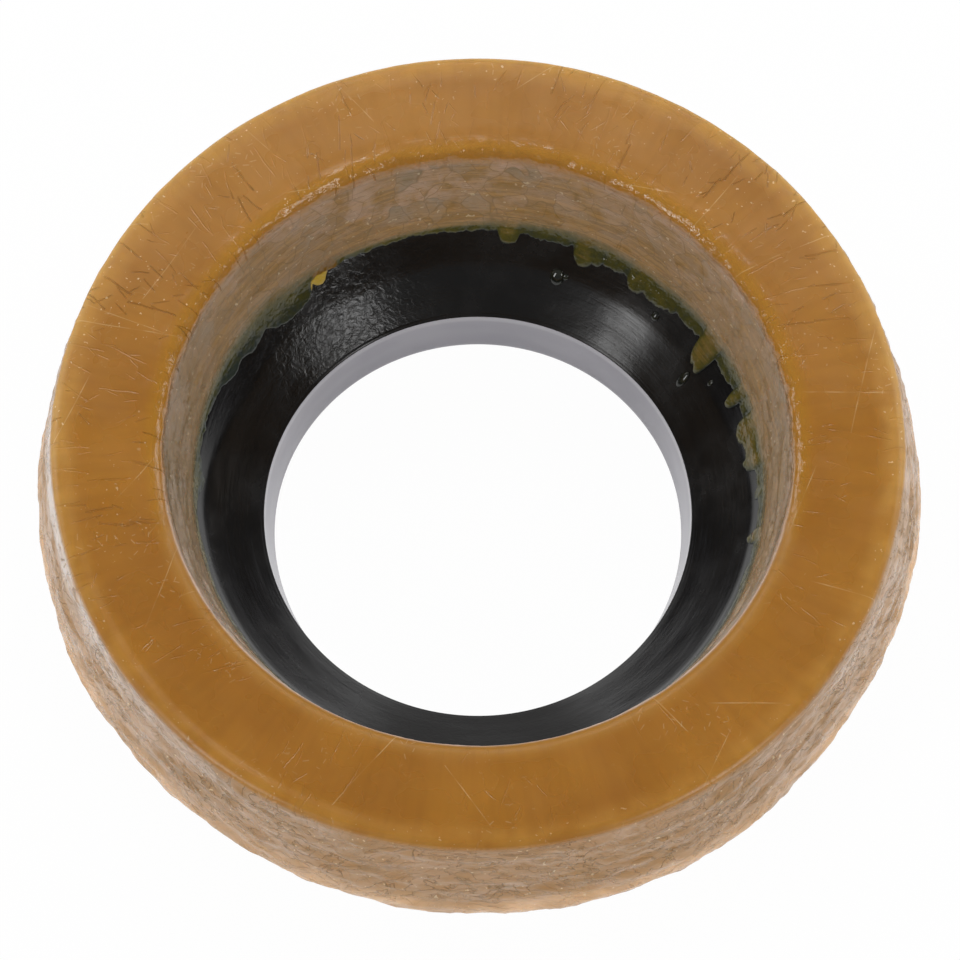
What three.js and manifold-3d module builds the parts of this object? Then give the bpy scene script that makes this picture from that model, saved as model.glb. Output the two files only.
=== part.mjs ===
// A toilet pan seal: a moulded ring of wax with a black plastic funnel, the horn, cast into it.
//
// Millimetres, +Z up. The seal stands on the rim of its horn. The origin is the centre of that rim,
// and +Z is the axis of the waste way. A profile below is a list of (radius, height) points that goes
// once round the section of a piece, with the material on its left.

import * as THREE from 'three';
import { mergeVertices } from 'three/addons/utils/BufferGeometryUtils.js';
import Module from 'manifold-3d';

const wasm = await Module();
wasm.setup();

// Horn: a sleeve that enters the drain, a cone above it, and a flat brim that the wax grips
const sleeveLength = 8.2;
const sleeveRadius = 33.3;          // bore at the top of the sleeve, where the cone begins
const sleeveTaper = 1.4;            // how much less the bore's radius is at the rim
const hornWall = 1.8;
const coneAngle = 47.5;             // degrees above the horizontal
const coneRise = 13.8;              // from the top of the sleeve to the top of the brim
const flareRadius = 6;              // where the cone turns into the brim
const brimFlat = 9.4;               // width of the brim beyond the flare
const rimRound = 0.5;

// Keying holes in the brim, which the wax fills
const keyholeCount = 12;
const keyholeRadius = 2.5;

// Wax ring, cast over and under the brim
const waxHeight = 24;
const waxOverBrim = 16;
const waxRoundBrim = 10.5;          // beyond the edge of the brim, at the ring's widest
const waxFlare = 3.5;               // how much less the radius is at the upper face
const waxFaceWidth = 17;            // upper face, from its outer edge to the mouth
const waxOuterRound = 2.2;
const waxMouthRound = 1.4;
const waxFootRound = 3.4;
const bondGap = 0.3;                // between the wax and the plastic that it is cast on

// Toe of the wax: the feather edge that lies on the cone, with the drips that ran down from it
const mouthTaper = 4.7;             // how far the inner wall leans in from the mouth to the toe
const toeWave = 0.35;
const toeWaveCount = 7;
const dripWidth = 1.7;
const drips = [
  { bearing: 84, reach: 1.8 },
  { bearing: 66, reach: 2.3 },
  { bearing: 51, reach: 1.8 },
  { bearing: 33, reach: 3.6 },
  { bearing: 21, reach: 2.0 },
  { bearing: 15, reach: 2.0 },
  { bearing: 9, reach: 2.0 },
  { bearing: -12, reach: 1.8 },
  { bearing: 126, reach: 1.9 },
  { bearing: 141, reach: 1.6 },
  { bearing: 177, reach: 2.2 },
];

// Fineness of the round forms
const ringSegments = 120;
const holeSegments = 16;
const arcSteps = 4;
const rimSteps = 2;
const seatSteps = 5;

// Levels and radii that follow from the sizes above
const slope = THREE.MathUtils.degToRad(coneAngle);
const brimTop = sleeveLength + coneRise;
const waxTop = brimTop + waxOverBrim;
const waxFoot = waxTop - waxHeight;
const flareReach = Math.max(flareRadius, hornWall + 2 * bondGap);
const flareCentreZ = brimTop - flareReach;
const flareTouchZ = flareCentreZ + flareReach * Math.cos(slope);
const flareTouchRadius = sleeveRadius + (flareTouchZ - sleeveLength) / Math.tan(slope);
const flareCentreRadius = flareTouchRadius + flareReach * Math.sin(slope);
const brimRadius = flareCentreRadius + brimFlat;
const keyholeCircle = flareCentreRadius + brimFlat / 2;
const waxRadius = brimRadius + waxRoundBrim;
const waxTopRadius = waxRadius - waxFlare;
const mouthRadius = waxTopRadius - waxFaceWidth;
const toeRadius = mouthRadius - mouthTaper;

// Height, at a radius, of the surface that lies this far above the top of the horn
function flareHeight(radius, offset) {
  const reach = flareReach + offset;
  if (radius >= flareCentreRadius) {
    return flareCentreZ + reach;
  }
  const run = flareCentreRadius - radius;
  if (run <= reach * Math.sin(slope)) {
    return flareCentreZ + Math.sqrt(reach * reach - run * run);
  }
  return sleeveLength + (radius - sleeveRadius) * Math.tan(slope) + offset / Math.cos(slope);
}

// The same surface as points, from one radius to another
function flarePoints(fromRadius, toRadius, offset, steps) {
  const points = [];
  for (let step = 0; step <= steps; step += 1) {
    const radius = THREE.MathUtils.lerp(fromRadius, toRadius, step / steps);
    points.push(new THREE.Vector2(radius, flareHeight(radius, offset)));
  }
  return points;
}

// Radius of the sleeve's outside, this far beyond its wall
function sleeveOutside(height, offset) {
  return sleeveRadius - sleeveTaper * (1 - height / sleeveLength) + hornWall + offset;
}

// Where the outside of the cone meets the outside of the sleeve, this far off the plastic
function knee(offset) {
  const away = hornWall + offset;
  const taperRate = sleeveTaper / sleeveLength;
  const top = away * (1 - 1 / Math.sin(slope)) + sleeveLength * (1 / Math.tan(slope) - taperRate);
  const height = top / (1 / Math.tan(slope) - taperRate);
  return new THREE.Vector2(sleeveOutside(height, offset), height);
}

// A corner rounded by an arc about a centre, from one angle to another, in degrees
function arc(centreRadius, centreHeight, radius, fromAngle, toAngle, steps = arcSteps) {
  const points = [];
  for (let step = 0; step <= steps; step += 1) {
    const angle = THREE.MathUtils.degToRad(THREE.MathUtils.lerp(fromAngle, toAngle, step / steps));
    points.push(new THREE.Vector2(
      centreRadius + radius * Math.cos(angle),
      centreHeight + radius * Math.sin(angle),
    ));
  }
  return points;
}

// A closed profile turned about the Z axis, with any point moved by shape(point, index, bearing)
function turned(profile, shape = (point) => point) {
  const closed = [...profile, profile[0]];
  const geometry = new THREE.LatheGeometry(closed, ringSegments);
  geometry.rotateX(Math.PI / 2);
  const position = geometry.getAttribute('position');
  for (let i = 0; i < position.count; i += 1) {
    const bearing = Math.atan2(position.getY(i), position.getX(i));
    const index = i % closed.length;
    const moved = shape(closed[index], index, bearing);
    position.setXYZ(i, moved.x * Math.cos(bearing), moved.x * Math.sin(bearing), moved.y);
  }
  return geometry;
}

function toManifold(geometry) {
  const bare = geometry.clone();
  bare.deleteAttribute('normal');
  bare.deleteAttribute('uv');
  const merged = mergeVertices(bare);
  const vertProperties = new Float32Array(merged.getAttribute('position').array);
  const triVerts = new Uint32Array(merged.getIndex().array);
  return new wasm.Manifold(new wasm.Mesh({ numProp: 3, vertProperties, triVerts }));
}

function fromManifold(solid) {
  const mesh = solid.getMesh();
  const geometry = new THREE.BufferGeometry();
  geometry.setAttribute('position', new THREE.BufferAttribute(mesh.vertProperties, 3));
  geometry.setIndex(new THREE.BufferAttribute(mesh.triVerts, 1));
  geometry.computeVertexNormals();
  return geometry;
}

// An upright pin through each keying hole, from one height to another
function keyPins(radius, fromHeight, toHeight) {
  const pins = [];
  for (let hole = 0; hole < keyholeCount; hole += 1) {
    const bearing = 2 * Math.PI * (hole + 0.5) / keyholeCount;
    const pin = new THREE.CylinderGeometry(radius, radius, toHeight - fromHeight, holeSegments);
    pin.rotateX(Math.PI / 2);
    pin.translate(
      keyholeCircle * Math.cos(bearing),
      keyholeCircle * Math.sin(bearing),
      (fromHeight + toHeight) / 2,
    );
    pins.push(toManifold(pin));
  }
  return pins;
}

// Section of the horn: down the bore, round the rim, up the outside and round the brim
function hornProfile() {
  const rimRadius = sleeveRadius - sleeveTaper;
  return [
    ...flarePoints(flareCentreRadius, flareTouchRadius, 0, seatSteps),
    new THREE.Vector2(sleeveRadius, sleeveLength),
    ...arc(rimRadius + rimRound, rimRound, rimRound, 180, 270, rimSteps),
    ...arc(rimRadius + hornWall - rimRound, rimRound, rimRound, 270, 360, rimSteps),
    knee(0),
    ...flarePoints(
      flareCentreRadius - (flareReach - hornWall) * Math.sin(slope),
      flareCentreRadius,
      -hornWall,
      arcSteps,
    ),
    ...arc(brimRadius - rimRound, brimTop - hornWall + rimRound, rimRound, 270, 360, rimSteps),
    ...arc(brimRadius - rimRound, brimTop - rimRound, rimRound, 0, 90, rimSteps),
  ];
}

function makeHorn() {
  const body = toManifold(turned(hornProfile()));
  const drills = keyPins(keyholeRadius, brimTop - 2 * hornWall, brimTop + hornWall);
  const drilled = drills.reduce((solid, drill) => solid.subtract(drill), body);
  return fromManifold(drilled);
}

// Lean of a wall from the upright, in degrees
function leanOf(sideways, upwards) {
  return THREE.MathUtils.radToDeg(Math.atan2(sideways, upwards));
}

// How far the toe has run down the cone at a bearing, in radius
function toeRun(bearing) {
  let run = toeWave * Math.sin(toeWaveCount * bearing);
  for (const drip of drips) {
    const turn = bearing - THREE.MathUtils.degToRad(drip.bearing);
    const along = toeRadius * Math.atan2(Math.sin(turn), Math.cos(turn));
    run += drip.reach * Math.exp(-((along / dripWidth) ** 2));
  }
  return run;
}

// Where the wax under the brim comes down to its foot, beside the cone or beside the sleeve
function footPoints() {
  const away = hornWall + bondGap;
  const corner = knee(bondGap);
  if (waxFoot < corner.y) {
    return [corner, new THREE.Vector2(sleeveOutside(waxFoot, bondGap), waxFoot)];
  }
  const drop = sleeveLength - waxFoot - away / Math.cos(slope);
  return [new THREE.Vector2(sleeveRadius - drop / Math.tan(slope), waxFoot)];
}

// Section of the wax: the toe comes first, then the seat on the horn, the foot and the outer wall
function waxProfile() {
  const gripRadius = brimRadius + bondGap;
  const underStart = flareCentreRadius - (flareReach - hornWall - bondGap) * Math.sin(slope);
  const outerLean = leanOf(waxFlare, waxHeight - waxFootRound - waxOuterRound);
  const innerLean = leanOf(mouthRadius - toeRadius, waxTop - flareHeight(toeRadius, bondGap));
  return [
    ...flarePoints(toeRadius, flareCentreRadius, bondGap, seatSteps),
    new THREE.Vector2(gripRadius, brimTop + bondGap),
    new THREE.Vector2(gripRadius, brimTop - hornWall - bondGap),
    ...flarePoints(flareCentreRadius, underStart, -hornWall - bondGap, arcSteps),
    ...footPoints(),
    ...arc(waxRadius - waxFootRound, waxFoot + waxFootRound, waxFootRound, 270, 360 + outerLean),
    ...arc(waxTopRadius - waxOuterRound, waxTop - waxOuterRound, waxOuterRound, outerLean, 90),
    ...arc(mouthRadius + waxMouthRound, waxTop - waxMouthRound, waxMouthRound, 90, 180 - innerLean),
  ];
}

function makeWaxRing() {
  const profile = waxProfile();
  const shapeToe = (point, index, bearing) => {
    if (index % profile.length !== 0) {
      return point;
    }
    const radius = toeRadius - toeRun(bearing);
    return new THREE.Vector2(radius, flareHeight(radius, bondGap));
  };
  const body = toManifold(turned(profile, shapeToe));
  const rooted = 2 * bondGap;
  const plugs = keyPins(keyholeRadius - bondGap, brimTop - hornWall - rooted, brimTop + rooted);
  const keyed = plugs.reduce((solid, plug) => solid.add(plug), body);
  return fromManifold(keyed);
}

const waxMaterial = new THREE.MeshStandardMaterial({
  name: 'wax',
  color: 0xaa733c,
  roughness: 0.45,
  metalness: 0,
});

const hornMaterial = new THREE.MeshStandardMaterial({
  name: 'black_plastic',
  color: 0x1c1b1b,
  roughness: 0.25,
  metalness: 0,
});

function named(name, geometry, material) {
  const mesh = new THREE.Mesh(geometry, material);
  mesh.name = name;
  return mesh;
}

const panSeal = new THREE.Group();
panSeal.add(named('horn', makeHorn(), hornMaterial));
panSeal.add(named('wax_ring', makeWaxRing(), waxMaterial));

export default panSeal;
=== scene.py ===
# A toilet pan seal: a moulded ring of amber wax with a black plastic funnel, the horn, cast into it.
#
# Sizes are in millimetres until a mesh is made, and bearings are in degrees, anticlockwise from +X
# seen from above. A section is a list of (radius, height) points round half of a piece.

import math

import bpy
import numpy as np
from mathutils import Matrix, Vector, noise


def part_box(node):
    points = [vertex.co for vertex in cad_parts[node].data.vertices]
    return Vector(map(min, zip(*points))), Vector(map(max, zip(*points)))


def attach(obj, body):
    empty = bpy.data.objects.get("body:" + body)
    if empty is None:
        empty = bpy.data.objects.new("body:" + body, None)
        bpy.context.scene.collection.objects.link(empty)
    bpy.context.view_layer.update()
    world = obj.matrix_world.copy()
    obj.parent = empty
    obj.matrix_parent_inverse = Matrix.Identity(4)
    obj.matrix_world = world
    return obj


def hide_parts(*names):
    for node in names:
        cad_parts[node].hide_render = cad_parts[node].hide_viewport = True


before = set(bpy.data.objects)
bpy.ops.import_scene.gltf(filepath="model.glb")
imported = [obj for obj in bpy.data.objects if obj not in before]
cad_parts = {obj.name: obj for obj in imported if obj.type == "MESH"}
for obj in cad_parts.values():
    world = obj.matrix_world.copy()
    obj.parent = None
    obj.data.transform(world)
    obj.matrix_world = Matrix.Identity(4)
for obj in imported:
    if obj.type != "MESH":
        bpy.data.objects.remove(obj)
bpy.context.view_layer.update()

MM = 0.001

# Sizes of the two pieces, from the frame
wax_low, wax_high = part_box("wax_ring")
horn_low, horn_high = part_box("horn")
WAX_TOP = wax_high[2] / MM
WAX_FOOT = wax_low[2] / MM
WAX_RADIUS = wax_high[0] / MM
BRIM_TOP = horn_high[2] / MM
BRIM_RADIUS = horn_high[0] / MM
RIM_HEIGHT = horn_low[2] / MM

# Section of the horn
SLEEVE_LENGTH = 8.2
SLEEVE_RADIUS = 33.3
SLEEVE_TAPER = 1.4
HORN_WALL = 1.8
CONE_ANGLE = math.radians(47.5)
FLARE_RADIUS = 6.0
RIM_ROUND = 0.5

# How deep the cone sags, and how far up its slope it is deepest, at the far and the near side
CONE_SAG = (0.65, 0.90)
SAG_PLACE = (0.62, 0.90)
SAG_ROUND = 0.15

# Section of the wax
TOP_RADIUS = 65.0
MOUTH_RADIUS = 48.0
TOE_RADIUS = 43.6
WIDEST = WAX_RADIUS - 0.5
OUTER_ROUND = 1.9
MOUTH_ROUND = 1.9
FOOT_ROUND = 3.4

# How far the folds of the outer wall slant up and down in millimetres, and how often round the ring
SLANT = 4.0
SLANTS = 7

# Radii of the groove beside the mouth, the dent beside the rim, and the middles of face and cone
GROOVE_RADIUS = MOUTH_RADIUS + 3.4
DENT_RADIUS = TOP_RADIUS - 3.4
FACE_MIDDLE = 56.5
CONE_MIDDLE = 38.0

# Sines of the bearings between which the far side begins
FAR_SIDE = (-0.5, 0.3)

# Thickness that the wax's material reads away from its inner wall
THICK = 20.0

# Parts of the section on the outside
OUTSIDE = ["shoulder", "outer", "heel"]

# Fineness of the skins: the bearings between which the toe is ragged, degrees between the sections
# of the wax there and elsewhere, rows of its inner wall, and sections of the horn
RAGGED = (-22.0, 108.0)
FINE_STEP = 0.3
PLAIN_STEP = 0.7
INNER_ROWS = 34
HORN_AROUND = 480

# Soft changes round the ring: bearing, half width and height of each. Forms: the slump of the outer
# wall, the dent beside the rim, the thicker toe and its rounder join to the wall
SLUMPS = [
    (0.0, 22.0, 0.5),
    (-36.0, 14.0, -0.35),
    (-68.0, 16.0, 0.4),
    (-128.0, 22.0, -0.5),
    (110.0, 20.0, 0.3),
    (60.0, 18.0, -0.3),
]
ROLLED = [(222.0, 45.0, 1.0)]
SWOLLEN_TOE = [(42.0, 44.0, 0.25)]
ROUNDED_TOE = [(137.0, 9.0, 3.2)]

# Looks, in the same terms: the toe less dark, the face creased, the outer wall bare of film and, at
# its top, pale with film and painted sheen, the inner wall darker with painted shade, the cone crinkled
CLEAN_TOE = [(106.0, 13.0, 1.4), (220.0, 30.0, 0.84), (188.0, 16.0, 0.84), (139.0, 9.0, -0.45)]
CRUMPLES = [(152.0, 42.0, 1.0), (44.0, 30.0, 0.7), (95.0, 25.0, 0.25)]
BARE = [(-86.0, 46.0, 1.0)]
BLOOMS_AND_SHEEN = [(188.0, 40.0, 0.95), (4.0, 24.0, 0.2)]
INNER_PAINTED_SHADE = [(180.0, 26.0, 1.0), (0.0, 22.0, 0.5)]
CRINKLES = [(127.0, 14.0, 0.88), (-96.0, 14.0, 0.3)]

# Thin films of wax that crept down the cone: bearing, half width, reach down the cone and thickness
FILMS = [
    (177.6, 3.0, 2.4, 0.30),
    (152.0, 3.6, 1.6, 0.25),
    (145.0, 4.0, 2.0, 0.28),
    (51.0, 6.0, 1.6, 0.60),
    (26.0, 5.0, 0.8, 0.55),
    (10.0, 4.6, 1.8, 0.60),
    (-38.0, 3.0, 1.2, 0.30),
    (-57.0, 2.4, 1.8, 0.30),
    (-80.0, 3.4, 0.9, 0.30),
    (-104.0, 2.6, 1.5, 0.30),
    (-127.0, 3.4, 0.8, 0.30),
    (-146.0, 3.6, 1.5, 0.30),
    (-165.0, 2.8, 1.8, 0.30),
]

# Round lobes at the lower end of the films, in the same terms
LOBES = [
    (133.8, 5.3, 3.3, 0.28),
    (125.0, 1.3, 1.5, 0.60),
    (83.6, 1.7, 1.9, 0.70),
    (75.0, 3.4, 0.4, 0.45),
    (67.1, 1.9, 2.9, 0.85),
    (64.6, 1.5, 1.8, 0.65),
    (60.4, 2.6, 1.1, 0.60),
    (54.4, 1.9, 2.6, 0.80),
    (49.6, 3.4, 2.2, 0.75),
    (45.2, 1.2, 1.2, 0.60),
    (40.0, 3.2, 1.0, 0.55),
    (33.6, 2.0, 5.0, 1.00),
    (32.2, 1.3, 5.5, 0.95),
    (26.6, 3.4, 0.9, 0.55),
    (20.9, 1.1, 3.4, 0.85),
    (17.6, 1.6, 0.7, 0.50),
    (13.3, 2.1, 3.5, 0.95),
    (10.0, 4.2, 2.5, 0.85),
    (6.3, 1.4, 3.4, 0.90),
    (1.6, 1.8, 0.5, 0.50),
    (-1.0, 0.9, 1.5, 0.60),
    (-10.6, 1.1, 2.3, 0.80),
    (-20.0, 2.4, 0.4, 0.45),
]

# Clear drops on the cone by themselves: bearing, radius, half width and half length
DROPS = [
    (71.7, 39.6, 1.15, 1.5),
    (69.8, 39.9, 0.5, 0.6),
    (47.4, 41.0, 0.7, 0.9),
    (33.0, 38.2, 0.75, 1.7),
    (27.6, 40.9, 0.4, 0.7),
]

# Rings and points to a ring of each drop, and its height as a share of its half width
DROP_RINGS = 7
DROP_AROUND = 24
DROP_HEIGHT = 0.55


def sag(radius, bearing):
    """How far the cone sags there: a rounded tent between sleeve and toe, higher up on the near side."""
    near = 1.0 - smooth(np.sin(np.radians(bearing)), -0.1, 0.5)
    depth = CONE_SAG[0] + (CONE_SAG[1] - CONE_SAG[0]) * near
    place = SAG_PLACE[0] + (SAG_PLACE[1] - SAG_PLACE[0]) * near
    share = np.clip((radius - SLEEVE_RADIUS) / (TOE_RADIUS - SLEEVE_RADIUS), 0.0, 1.0)
    away = np.where(share < place, (place - share) / place, (share - place) / (1.0 - place))
    return depth * np.maximum(1.0 - np.sqrt(away * away + SAG_ROUND * SAG_ROUND), 0.0)


def flare_height(radius, low=0.0):
    """Height of the top of the horn at this radius, where the cone sags so low."""
    centre_z = BRIM_TOP - FLARE_RADIUS
    touch_z = centre_z + FLARE_RADIUS * math.cos(CONE_ANGLE)
    touch_radius = SLEEVE_RADIUS + (touch_z - SLEEVE_LENGTH) / math.tan(CONE_ANGLE)
    centre_radius = touch_radius + FLARE_RADIUS * math.sin(CONE_ANGLE)
    run = np.maximum(centre_radius - radius, 0.0)
    curved = centre_z + np.sqrt(np.maximum(FLARE_RADIUS * FLARE_RADIUS - run * run, 0.0))
    sloped = SLEEVE_LENGTH + (radius - SLEEVE_RADIUS) * math.tan(CONE_ANGLE)
    sloped = sloped - low / math.cos(CONE_ANGLE)
    return np.where(run <= FLARE_RADIUS * math.sin(CONE_ANGLE), curved, sloped)


def cone_outside(height):
    """Radius of the outside of the cone at this height."""
    above = height - SLEEVE_LENGTH + HORN_WALL / math.cos(CONE_ANGLE)
    return SLEEVE_RADIUS + above / math.tan(CONE_ANGLE)


def arc(radius, height, reach, start, end, steps):
    """Points on a round, from one angle to another in degrees, without the first point."""
    angles = np.radians(np.linspace(start, end, steps + 1)[1:])
    return np.column_stack([radius + reach * np.cos(angles), height + reach * np.sin(angles)])


def straight(start, end, steps):
    """Points on a straight line, without the first point."""
    share = np.linspace(0.0, 1.0, steps + 1)[1:, None]
    return np.asarray(start) * (1 - share) + np.asarray(end) * share


def smooth(value, low, high):
    """0 below low, 1 above high and a soft step between them."""
    share = np.clip((value - low) / (high - low), 0.0, 1.0)
    return share * share * (3 - 2 * share)


def bump_at(bearings, centre, half_width, radius):
    """A soft bump round one bearing. The half width is measured along a circle of this radius."""
    turn = (bearings - centre + 180.0) % 360.0 - 180.0
    return np.exp(-(np.radians(turn) * radius / half_width) ** 2)


def bumps(bearings, places, radius):
    """The sum of soft bumps round the ring: bearing, half width and height of each."""
    total = np.zeros(bearings.shape)
    for centre, half_width, height in places:
        total = total + height * bump_at(bearings, centre, half_width, radius)
    return total


def grain(bearings, lengths, around, across, seed, octaves=3):
    """Noise over a skin, with the size of its grain round the ring and across it in millimetres."""
    turn = np.radians(bearings)
    ring = WAX_RADIUS / around
    out = np.empty(lengths.shape)
    for i, (cosine, sine) in enumerate(zip(np.cos(turn), np.sin(turn))):
        for j, length in enumerate(lengths[i]):
            place = Vector((cosine * ring, sine * ring, length / across + seed))
            out[i, j] = noise.fractal(place, 1.0, 2.0, octaves)
    return out


def lengths_along(section):
    """Distance along a section from its first point, for each point."""
    steps = np.linalg.norm(np.diff(section, axis=-2), axis=-1)
    start = np.zeros(section.shape[:-2] + (1,))
    return np.concatenate([start, np.cumsum(steps, axis=-1)], axis=-1)


def outward(sections):
    """Unit normals of the sections, on the side that is out of the material."""
    along = np.gradient(sections, axis=-2)
    normals = np.stack([along[..., 1], -along[..., 0]], axis=-1)
    return normals / np.linalg.norm(normals, axis=-1, keepdims=True)


def placed(name, data):
    """A new object in the scene."""
    item = bpy.data.objects.new(name, data)
    bpy.context.scene.collection.objects.link(item)
    return item


def smooth_piece(name, points, faces):
    """A piece with smooth shading, from points in metres."""
    mesh = bpy.data.meshes.new(name)
    mesh.from_pydata(points, [], faces)
    mesh.polygons.foreach_set("use_smooth", [True] * len(mesh.polygons))
    return placed(name, mesh)


def ring_mesh(name, sections, bearings, attributes):
    """A closed mesh of sections (bearing, point, (radius, height)) swept round the Z axis."""
    count, points, _ = sections.shape
    turn = np.radians(bearings)[:, None]
    places = np.stack([
        sections[..., 0] * np.cos(turn),
        sections[..., 0] * np.sin(turn),
        sections[..., 1],
    ], axis=-1) * MM
    index = np.arange(count * points).reshape(count, points)
    after = np.roll(index, -1, axis=0)
    quads = np.stack([index, after, np.roll(after, -1, axis=1), np.roll(index, -1, axis=1)], axis=-1)
    piece = smooth_piece(name, places.reshape(-1, 3).tolist(), quads.reshape(-1, 4).tolist())
    for key, values in attributes.items():
        layer = piece.data.attributes.new(key, "FLOAT", "POINT")
        layer.data.foreach_set("value", np.ascontiguousarray(values, dtype=np.float32).ravel())
    return piece


def lobe_at(bearings, centre, half_width, radius):
    """A round lobe at one bearing: the share of its reach, with blunt ends."""
    turn = (bearings - centre + 180.0) % 360.0 - 180.0
    away = np.abs(np.radians(turn) * radius / half_width)
    return np.maximum(1.0 - np.minimum(away, 1.0) ** 2.4, 0.0) ** 0.5


def toe_edge(bearings):
    """Round the ring: how far the thin wax reaches down the cone, and how thick it is there."""
    swollen = bumps(bearings, SWOLLEN_TOE, TOE_RADIUS)
    reach = np.zeros(bearings.shape)
    thick = 0.25 + swollen
    for shape, marks in ((bump_at, FILMS), (lobe_at, LOBES)):
        for centre, half_width, mark_reach, mark_thick in marks:
            share = shape(bearings, centre, half_width, TOE_RADIUS)
            reach = np.maximum(reach, mark_reach * share)
            thick = np.maximum(thick, mark_thick * np.sqrt(share))
    edge = np.zeros((len(bearings), 1))
    ragged = grain(bearings, edge, 2.6, 1.0, 31.0)[:, 0]
    nibbled = grain(bearings, edge, 0.9, 1.0, 37.0, 2)[:, 0]
    return reach + (0.20 + swollen) + 0.40 * ragged + 0.22 * nibbled, thick


def toe_rows(bearings, wall_top):
    """The inner wall from the toe up: a feather edge on the cone, with its lobes, then the wall."""
    reach, thick = toe_edge(bearings)
    reach, thick = reach[:, None], thick[:, None]
    up = np.array([math.cos(CONE_ANGLE), math.sin(CONE_ANGLE)])
    off = np.array([-math.sin(CONE_ANGLE), math.cos(CONE_ANGLE)])
    foot = np.array([TOE_RADIUS, float(flare_height(TOE_RADIUS))])
    top_up, top_off = (wall_top - foot) @ up, (wall_top - foot) @ off
    share = np.linspace(0.0, 1.0, INNER_ROWS) ** 1.7
    run = -reach + (top_up + reach) * share[None, :]
    front = np.clip((run + reach) / (1.2 * thick), 0.0, 1.0)
    film = thick * np.sqrt(np.maximum(1.0 - (1.0 - front) ** 2, 0.0))
    film = film * (1.0 - smooth(run, 0.0, 0.5 * top_up))
    fillet = 0.4 + bumps(bearings, ROUNDED_TOE, TOE_RADIUS)[:, None]
    wall = 0.5 * front * (run + np.sqrt(run * run + fillet * fillet))
    wall = wall / wall[:, -1:] * top_off
    height = np.hypot(wall, film)
    low = sag(TOE_RADIUS + run * up[0], bearings[:, None])
    return foot + run[..., None] * up + (height - low)[..., None] * off


def wax_section():
    """The section above the inner wall: mouth, upper face, outer wall, foot, underside and seat."""
    lean = math.degrees(math.atan2(WIDEST - TOP_RADIUS, WAX_TOP - WAX_FOOT - OUTER_ROUND - FOOT_ROUND))
    inner_rise = WAX_TOP - float(flare_height(TOE_RADIUS))
    inner_lean = math.degrees(math.atan2(MOUTH_RADIUS - TOE_RADIUS, inner_rise))
    mouth = (MOUTH_RADIUS + MOUTH_ROUND, WAX_TOP - MOUTH_ROUND)
    shoulder = (TOP_RADIUS - OUTER_ROUND, WAX_TOP - OUTER_ROUND)
    heel = (WIDEST - FOOT_ROUND, WAX_FOOT + FOOT_ROUND)
    start = arc(*mouth, MOUTH_ROUND, 181.0 - inner_lean, 180.0 - inner_lean, 1)[0]
    out = np.array([math.cos(math.radians(lean)), math.sin(math.radians(lean))])
    wall_top = np.array(shoulder) + OUTER_ROUND * out
    wall_foot = np.array(heel) + FOOT_ROUND * out
    under_cone = cone_outside(WAX_FOOT)
    under_flare = under_cone + (BRIM_TOP - HORN_WALL - WAX_FOOT) / math.tan(CONE_ANGLE)
    seat_top = float(flare_height(TOE_RADIUS + 3.0))
    parts = [
        ("mouth", arc(*mouth, MOUTH_ROUND, 180.0 - inner_lean, 90.0, 6)),
        ("face", straight((mouth[0], WAX_TOP), (shoulder[0], WAX_TOP), 22)),
        ("shoulder", arc(*shoulder, OUTER_ROUND, 90.0, lean, 6)),
        ("outer", straight(wall_top, wall_foot, 28)),
        ("heel", arc(*heel, FOOT_ROUND, lean, -90.0, 7)),
        ("under", straight((heel[0], WAX_FOOT), (under_cone, WAX_FOOT), 14)),
        ("seat", np.array([
            (under_flare, BRIM_TOP - HORN_WALL),
            (BRIM_RADIUS, BRIM_TOP - HORN_WALL),
            (BRIM_RADIUS, BRIM_TOP),
            (TOE_RADIUS + 6.0, BRIM_TOP),
            (TOE_RADIUS + 3.0, seat_top),
        ])),
    ]
    return start, parts


def wrinkles(bearings, lengths, masks):
    """How far each point of the wax's skin stands out of or sinks below its plain form."""
    coarse = grain(bearings, lengths, 11.0, 2.4, 3.0, 4)
    ribs = 1.0 - np.abs(grain(bearings, lengths + 0.25 * bearings[:, None], 9.0, 3.0, 11.0)) * 3.0
    fine = grain(bearings, lengths, 2.6, 0.9, 23.0)
    swell = grain(bearings, lengths, 18.0, 9.0, 41.0, 2)
    rough = masks["outer"] * (0.45 * coarse + 0.16 * np.maximum(ribs, 0.0) + 0.2 * fine)
    rough += masks["inner"] * (0.22 * coarse + 0.1 * fine)
    rough += masks["under"] * (0.2 * coarse + 0.12 * fine)
    rough += masks["face"] * (0.1 * swell + 0.03 * fine)
    return rough


def wax_bearings():
    """Bearings of the wax's sections, closer together where the toe is ragged."""
    low, high = RAGGED
    fine = np.arange(low, high, FINE_STEP)
    plain = np.linspace(high, low + 360.0, int((360.0 - high + low) / PLAIN_STEP), endpoint=False)
    return np.concatenate([fine, plain])


def wax_masks(plain, bearings, names):
    """Where each kind of wrinkle goes on the plain skin, as a share for each point."""
    level = plain[..., 1]
    down = WAX_TOP - level
    thick = smooth(height_of(plain, bearings), 0.5, 3.0)
    return {
        "inner": np.isin(names, ["inner"]) * thick * smooth(down, 0.6, 2.5),
        "outer": np.isin(names, OUTSIDE) * smooth(down, 0.6, 3.0),
        "under": np.isin(names, ["under"]) * np.ones_like(level),
        "face": np.isin(names, ["mouth", "face", "shoulder"]) * smooth(level, WAX_TOP - 1.5, WAX_TOP),
    }


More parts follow.
